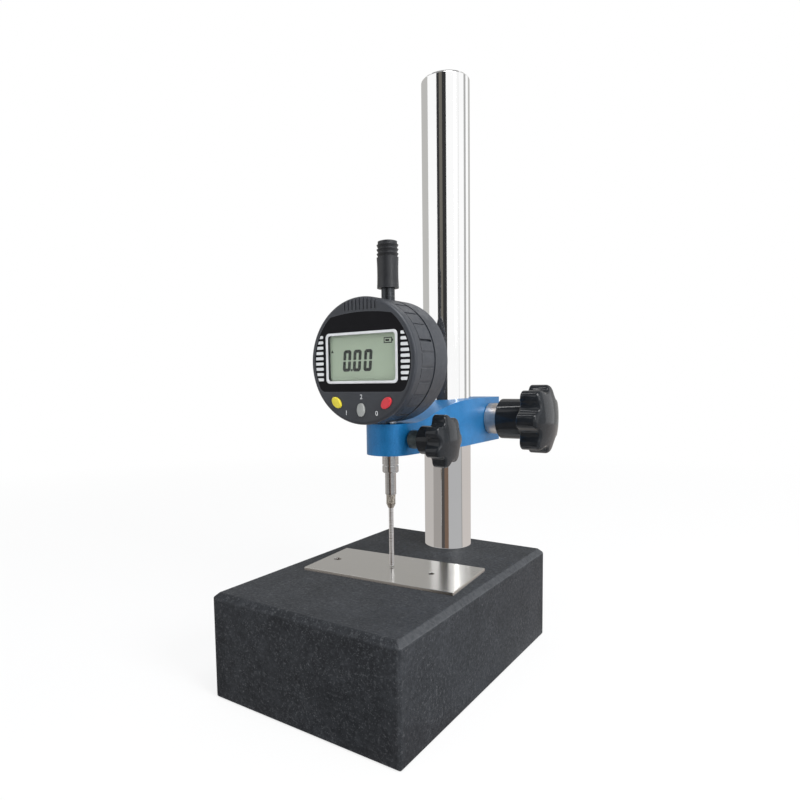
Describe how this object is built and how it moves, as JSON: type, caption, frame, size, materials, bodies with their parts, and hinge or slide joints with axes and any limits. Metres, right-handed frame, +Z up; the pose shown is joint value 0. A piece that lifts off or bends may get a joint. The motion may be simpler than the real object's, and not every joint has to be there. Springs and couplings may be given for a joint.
{
  "type": "digital height gauge",
  "caption": "Digital indicator with a round display and push buttons, held over a granite base by a blue arm that clamps on a chromed column.",
  "frame": {"origin": "centre of the granite base's underside", "axes": "+Z up along the column, -Y to the front, where the display looks, +X to the right, where both clamp knobs are"},
  "size_m": [0.1044, 0.1688, 0.304],
  "materials": {
    "granite": "honed dark granite with fine pale specks",
    "black_steel": "black oxide",
    "zinc_steel": "zinc plated",
    "chrome": "hard chromed and polished",
    "satin_steel": "ground, satin",
    "blue_paint": "metallic blue enamel with a fine sparkle",
    "collar_steel": "turned and polished",
    "knob_plastic": "glossy black",
    "brass": "plain turned or stamped",
    "bright_steel": "ground stainless steel",
    "knurled_steel": "diamond knurl",
    "dark_steel": "dark grey, turned",
    "housing_plastic": "satin charcoal",
    "cover_plastic": "fine grain charcoal",
    "cap_plastic": "dark satin",
    "carrier_plastic": "natural moulded",
    "spring_steel": "drawn wire",
    "board_green": "green solder mask",
    "scale_laminate": "thin laminate with a copper pattern",
    "panel_gloss": "glossy black",
    "frame_silver": "silver",
    "clear_lens": "clear",
    "lcd_glass": "pale grey-green",
    "connector_rubber": "pink layered rubber",
    "switch_plastic": "plain",
    "button_yellow": "satin yellow",
    "button_grey": "satin grey",
    "button_red": "satin red"
  },
  "bodies": {
    "base": {"granite_base": "granite", "column_bolt": "black_steel", "column_washer": "zinc_steel"},
    "column": {"column": "chrome"},
    "plate": {"gauge_plate": "satin_steel"},
    "arm": {"support_arm": "blue_paint"},
    "column_clamp_slide": {"column_clamp_collar": "collar_steel"},
    "column_clamp": {"column_clamp_screw": "zinc_steel", "column_clamp_knob": "knob_plastic"},
    "stem_pad": {"stem_clamp_pad": "brass"},
    "stem_clamp": {"stem_clamp_screw": "zinc_steel", "stem_clamp_collar": "black_steel", "stem_clamp_knob": "knob_plastic"},
    "stem": {"stem": "bright_steel", "stem_bush": "bright_steel"},
    "indicator": {"indicator_body": "housing_plastic", "rear_cover": "cover_plastic", "rear_cover_screws": "zinc_steel", "neck_tube": "dark_steel", "guide_rail": "satin_steel", "reader_board": "board_green", "retaining_ring": "zinc_steel"},
    "spindle": {"spindle": "bright_steel", "scale_carrier": "carrier_plastic", "scale_strip": "scale_laminate", "guide_pin": "bright_steel", "return_spring": "spring_steel", "lifting_cap": "cap_plastic", "contact_holder": "knurled_steel", "contact_needle": "bright_steel"},
    "display": {"display_shell": "housing_plastic", "window_panel": "panel_gloss", "window_frame": "frame_silver", "window_lens": "clear_lens", "lcd_panel": "lcd_glass", "lcd_connectors": "connector_rubber", "main_board": "board_green", "key_switches": "switch_plastic", "battery_contacts": "brass", "display_back": "cover_plastic", "display_screws": "zinc_steel", "port_cover": "cover_plastic"},
    "battery_drawer": {"battery_tray": "housing_plastic", "coin_cell": "bright_steel"},
    "unit_key": {"unit_button": "button_yellow"},
    "preset_key": {"preset_button": "button_grey"},
    "zero_key": {"zero_button": "button_red"}
  },
  "joints": [
    {"name": "arm_swing", "type": "hinge", "parent": "base", "child": "column", "pos_m": [0, 0.057, 0.049], "axis": [0, 0, 1], "continuous": true},
    {"name": "arm_lift", "type": "slide", "parent": "column", "child": "arm", "axis": [0, 0, 1], "range_m": [0, 0.165]},
    {"name": "column_clamp_shift", "type": "slide", "parent": "arm", "child": "column_clamp_slide", "axis": [1, 0, 0], "range_m": [0, 0.001]},
    {"name": "column_clamp_turn", "type": "hinge", "parent": "column_clamp_slide", "child": "column_clamp", "pos_m": [0.03, 0.076, 0.1201], "axis": [1, 0, 0], "range_deg": [0, 360]},
    {"name": "stem_clamp_shift", "type": "slide", "parent": "arm", "child": "stem_pad", "axis": [1, 0, 0], "range_m": [0, 0.0008]},
    {"name": "stem_clamp_turn", "type": "hinge", "parent": "stem_pad", "child": "stem_clamp", "pos_m": [0.03, -0.0025, 0.1147], "axis": [1, 0, 0], "range_deg": [0, 360]},
    {"name": "stem_slide", "type": "slide", "parent": "arm", "child": "stem", "axis": [0, 0, 1], "range_m": [0, 0.01]},
    {"name": "indicator_swivel", "type": "hinge", "parent": "stem", "child": "indicator", "pos_m": [0, -0.0025, 0.1519], "axis": [0, 0, 1], "range_deg": [-90, 45]},
    {"name": "spindle_slide", "type": "slide", "parent": "indicator", "child": "spindle", "axis": [0, 0, 1], "range_m": [0, 0.0127], "stiffness_N_per_m": 30, "springref_m": -0.02, "deforming": ["return_spring"]},
    {"name": "display_turn", "type": "hinge", "parent": "indicator", "child": "display", "pos_m": [0, -0.0175, 0.1519], "axis": [0, 1, 0], "range_deg": [-135, 135]},
    {"name": "battery_drawer_slide", "type": "slide", "parent": "display", "child": "battery_drawer", "axis": [-1, 0, 0], "range_m": [0, 0.022]},
    {"name": "unit_press", "type": "slide", "parent": "display", "child": "unit_key", "axis": [0, 1, 0], "range_m": [0, 0.0006], "stiffness_N_per_m": 800, "springref_m": -0.0006},
    {"name": "preset_press", "type": "slide", "parent": "display", "child": "preset_key", "axis": [0, 1, 0], "range_m": [0, 0.0006], "stiffness_N_per_m": 800, "springref_m": -0.0006},
    {"name": "zero_press", "type": "slide", "parent": "display", "child": "zero_key", "axis": [0, 1, 0], "range_m": [0, 0.0006], "stiffness_N_per_m": 800, "springref_m": -0.0006},
    {"name": "plate_slide", "type": "slide", "parent": "base", "child": "plate", "axis": [0, -1, 0], "range_m": [-0.02, 0.045]}
  ],
  "couplings": [
    {"joint": "column_clamp_turn", "follows": "column_clamp_shift", "rad_per_m": 6283.2},
    {"joint": "stem_clamp_turn", "follows": "stem_clamp_shift", "rad_per_m": 7854}
  ]
}
